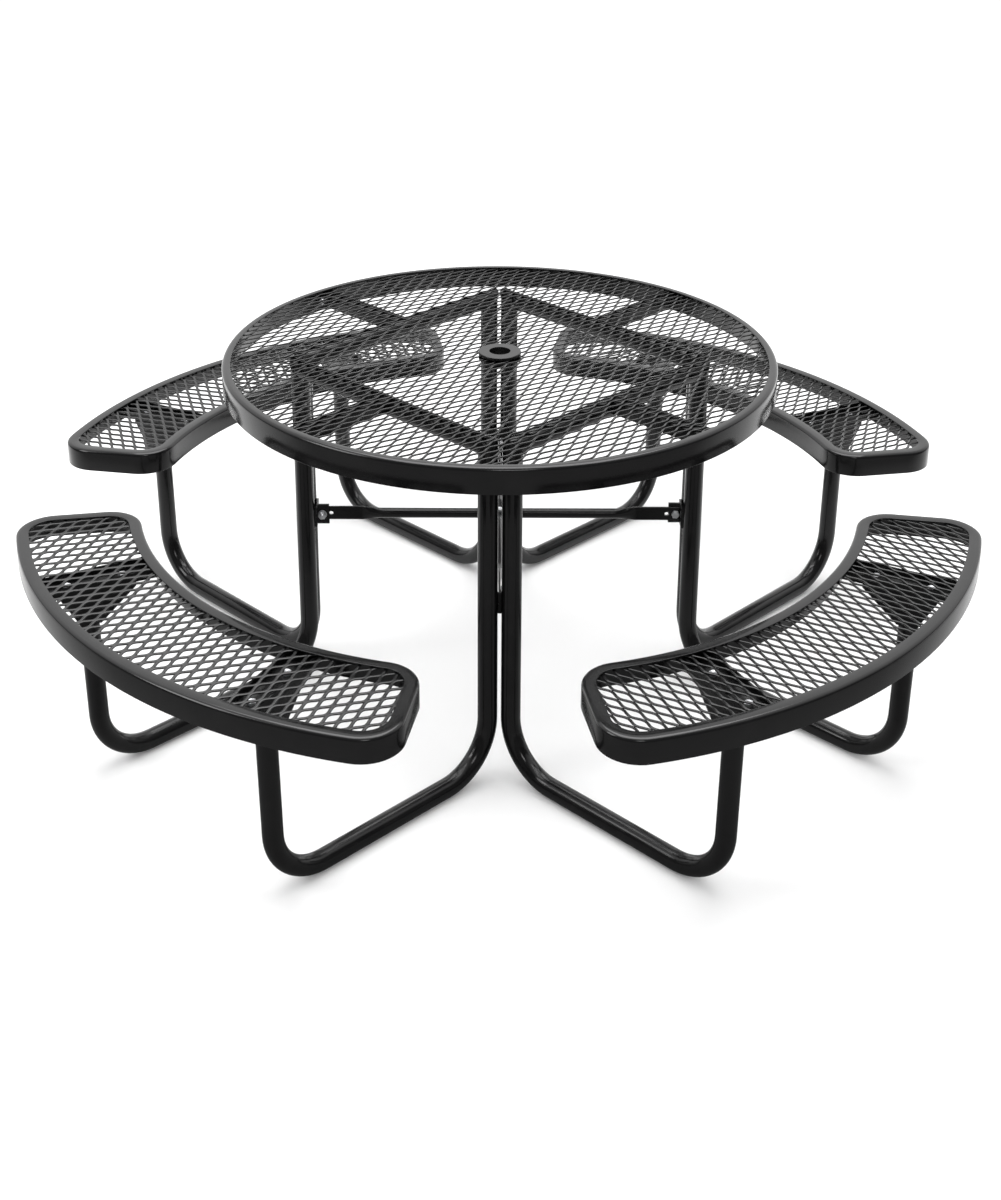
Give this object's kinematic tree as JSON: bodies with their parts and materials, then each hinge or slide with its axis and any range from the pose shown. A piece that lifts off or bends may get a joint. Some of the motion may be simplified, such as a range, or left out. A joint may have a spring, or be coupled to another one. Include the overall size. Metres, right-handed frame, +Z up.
{
  "type": "picnic table",
  "caption": "Round picnic table of coated expanded metal with an umbrella hole, on bent tube frames that carry four attached curved benches.",
  "frame": {"origin": "on the ground, under the centre of the umbrella hole", "axes": "+Z up along the umbrella hole; +X, +Y, -X and -Y each point through a pair of legs, so the benches stand on the diagonals"},
  "size_m": [1.9848, 1.9848, 0.765],
  "materials": {
    "black_coating": "thick black thermoplastic coating, semi-gloss",
    "coated_mesh": "the same black coating dipped over expanded metal, strands rounded, semi-gloss",
    "zinc": "bright zinc plate"
  },
  "bodies": {
    "root": {"table_rim": "black_coating", "umbrella_collar": "black_coating", "collar_backing_ring": "black_coating", "rim_tabs": "black_coating", "table_mesh": "coated_mesh", "frame_rail_front_right": "black_coating", "bench_rim_front_right": "black_coating", "bench_mesh_front_right": "coated_mesh", "table_arm_front_right": "black_coating", "frame_leg_front_right_right": "black_coating", "seat_channel_front_right_right": "black_coating", "post_bracket_front_right_right": "black_coating", "frame_leg_front_right_left": "black_coating", "seat_channel_front_right_left": "black_coating", "post_bracket_front_right_left": "black_coating", "frame_rail_back_right": "black_coating", "bench_rim_back_right": "black_coating", "bench_mesh_back_right": "coated_mesh", "table_arm_back_right": "black_coating", "frame_leg_back_right_right": "black_coating", "seat_channel_back_right_right": "black_coating", "post_bracket_back_right_right": "black_coating", "frame_leg_back_right_left": "black_coating", "seat_channel_back_right_left": "black_coating", "post_bracket_back_right_left": "black_coating", "frame_rail_back_left": "black_coating", "bench_rim_back_left": "black_coating", "bench_mesh_back_left": "coated_mesh", "table_arm_back_left": "black_coating", "frame_leg_back_left_right": "black_coating", "seat_channel_back_left_right": "black_coating", "post_bracket_back_left_right": "black_coating", "frame_leg_back_left_left": "black_coating", "seat_channel_back_left_left": "black_coating", "post_bracket_back_left_left": "black_coating", "frame_rail_front_left": "black_coating", "bench_rim_front_left": "black_coating", "bench_mesh_front_left": "coated_mesh", "table_arm_front_left": "black_coating", "frame_leg_front_left_right": "black_coating", "seat_channel_front_left_right": "black_coating", "post_bracket_front_left_right": "black_coating", "frame_leg_front_left_left": "black_coating", "seat_channel_front_left_left": "black_coating", "post_bracket_front_left_left": "black_coating", "brace_lug_right": "black_coating", "brace_lug_back": "black_coating", "brace_lug_left": "black_coating", "brace_lug_front": "black_coating", "cross_brace_side_to_side": "black_coating", "cross_brace_front_to_back": "black_coating", "seat_bolts": "zinc", "seat_nuts_washers": "zinc", "arm_bolts": "zinc", "arm_nuts_washers": "zinc", "brace_bolts": "zinc", "brace_nuts_washers": "zinc", "crossing_bolts": "zinc", "crossing_nuts_washers": "zinc"}
  },
  "joints": []
}
